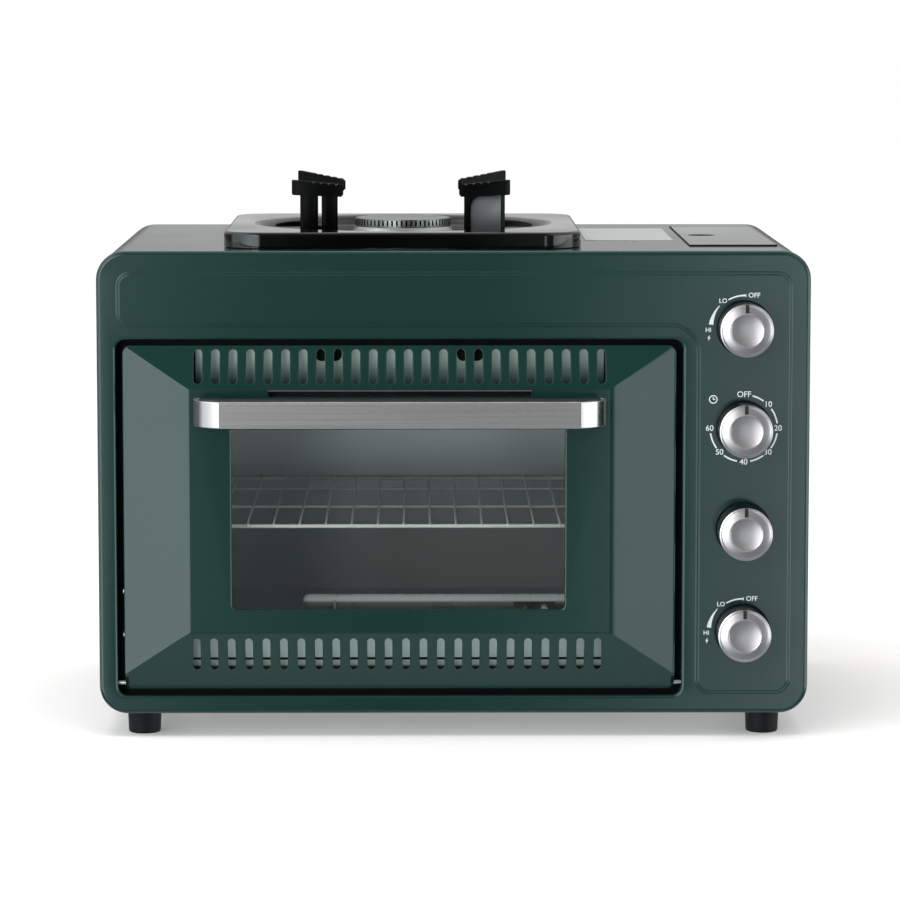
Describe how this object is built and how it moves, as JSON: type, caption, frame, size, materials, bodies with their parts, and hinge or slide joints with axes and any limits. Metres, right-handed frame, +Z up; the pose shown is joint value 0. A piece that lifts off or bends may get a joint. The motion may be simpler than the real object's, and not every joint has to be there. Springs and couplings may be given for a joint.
{
  "type": "tabletop gas oven",
  "caption": "Tabletop gas oven in pressed sheet steel with a drop-down glazed door, a column of knobs, and a stove burner with a drip tray on top.",
  "frame": {"origin": "centre of the bounding box on the table plane, under the feet", "axes": "+X to the right of a person facing the door, -Y towards that person, +Z up"},
  "size_m": [0.5, 0.379, 0.3906],
  "materials": {
    "green_enamel": "gloss",
    "black_enamel": "gloss",
    "stainless": "brushed",
    "cavity_steel": "satin",
    "galvanised_steel": "satin",
    "chrome_wire": "polished",
    "knob_metal": "turned",
    "dark_bezel": "gloss",
    "cast_aluminium": "cast",
    "crown_metal": "machined",
    "copper_brass": "machined",
    "plated_screw": "zinc plated",
    "black_rubber": "matt",
    "black_plastic": "satin",
    "white_ceramic": "glazed",
    "blank_label": "satin film",
    "door_glass": "clear"
  },
  "bodies": {
    "housing": {"front_fascia": "green_enamel", "outer_cover": "green_enamel", "base_pan": "galvanised_steel", "back_panel": "green_enamel", "back_screws": "plated_screw", "front_frame": "black_enamel", "hinge_brackets": "plated_screw", "cavity_liner": "cavity_steel", "rack_rails": "cavity_steel", "oven_burner_tube": "stainless", "burner_bracket": "cavity_steel", "sensor_bracket": "cavity_steel", "thermocouple": "copper_brass", "oven_igniter": "white_ceramic", "oven_injector": "copper_brass", "heat_shield": "galvanised_steel", "control_bracket": "galvanised_steel", "stove_valve": "copper_brass", "oven_valve": "copper_brass", "safety_valve": "copper_brass", "timer_body": "galvanised_steel", "regulator": "copper_brass", "gas_manifold": "copper_brass", "oven_gas_pipe": "copper_brass", "cartridge_bay": "galvanised_steel", "lid_hinge_pin": "plated_screw", "lid_hinge_leaf": "plated_screw", "stove_burner_body": "cast_aluminium", "burner_crown": "crown_metal", "burner_cap": "crown_metal", "stove_igniter": "white_ceramic", "knob_bezels": "dark_bezel", "label_blank": "blank_label", "rubber_feet": "black_rubber", "foot_screws": "plated_screw"},
    "door": {"door_outer_panel": "green_enamel", "door_inner_panel": "green_enamel", "door_glass_outer": "door_glass", "glass_retainer": "black_enamel", "door_glass_inner": "door_glass", "door_handle": "stainless", "handle_liner": "black_plastic", "handle_screws": "plated_screw", "door_hinge_arms": "plated_screw", "door_hinge_pins": "plated_screw", "door_rivets": "plated_screw", "door_spacers": "plated_screw"},
    "stove_knob": {"stove_knob": "knob_metal", "stove_stem": "plated_screw"},
    "timer_knob": {"timer_knob": "knob_metal", "timer_shaft": "plated_screw"},
    "safety_button": {"safety_button": "knob_metal", "safety_stem": "plated_screw"},
    "oven_knob": {"oven_knob": "knob_metal", "oven_stem": "plated_screw"},
    "lid": {"cartridge_lid": "green_enamel"},
    "rack": {"wire_rack": "chrome_wire"},
    "tray": {"drip_tray": "black_enamel", "pan_supports": "black_enamel"}
  },
  "joints": [
    {"name": "door_hinge", "type": "hinge", "parent": "housing", "child": "door", "pos_m": [-0.038, -0.141, 0.0383], "axis": [1, 0, 0], "range_deg": [0, 85]},
    {"name": "stove_knob_turn", "type": "hinge", "parent": "housing", "child": "stove_knob", "pos_m": [0.2035, -0.159, 0.2904], "axis": [0, -1, 0], "range_deg": [0, 100]},
    {"name": "timer_knob_turn", "type": "hinge", "parent": "housing", "child": "timer_knob", "pos_m": [0.2035, -0.159, 0.2199], "axis": [0, 1, 0], "range_deg": [0, 270]},
    {"name": "safety_button_push", "type": "slide", "parent": "housing", "child": "safety_button", "axis": [0, 1, 0], "range_m": [0, 0.005], "stiffness_N_per_m": 900, "springref_m": -0.003},
    {"name": "oven_knob_turn", "type": "hinge", "parent": "housing", "child": "oven_knob", "pos_m": [0.2035, -0.159, 0.0762], "axis": [0, -1, 0], "range_deg": [0, 100]},
    {"name": "lid_hinge", "type": "hinge", "parent": "housing", "child": "lid", "pos_m": [0.2466, 0.033, 0.297], "axis": [0, 1, 0], "range_deg": [0, 100]},
    {"name": "rack_slide", "type": "slide", "parent": "housing", "child": "rack", "axis": [0, -1, 0], "range_m": [0, 0.137]},
    {"name": "tray_lift", "type": "slide", "parent": "housing", "child": "tray", "axis": [0, 0, 1], "range_m": [0, 0.03]}
  ],
  "couplings": [
    {"joint": "rack_slide", "follows": "door_hinge", "m_per_rad": 0.092}
  ]
}
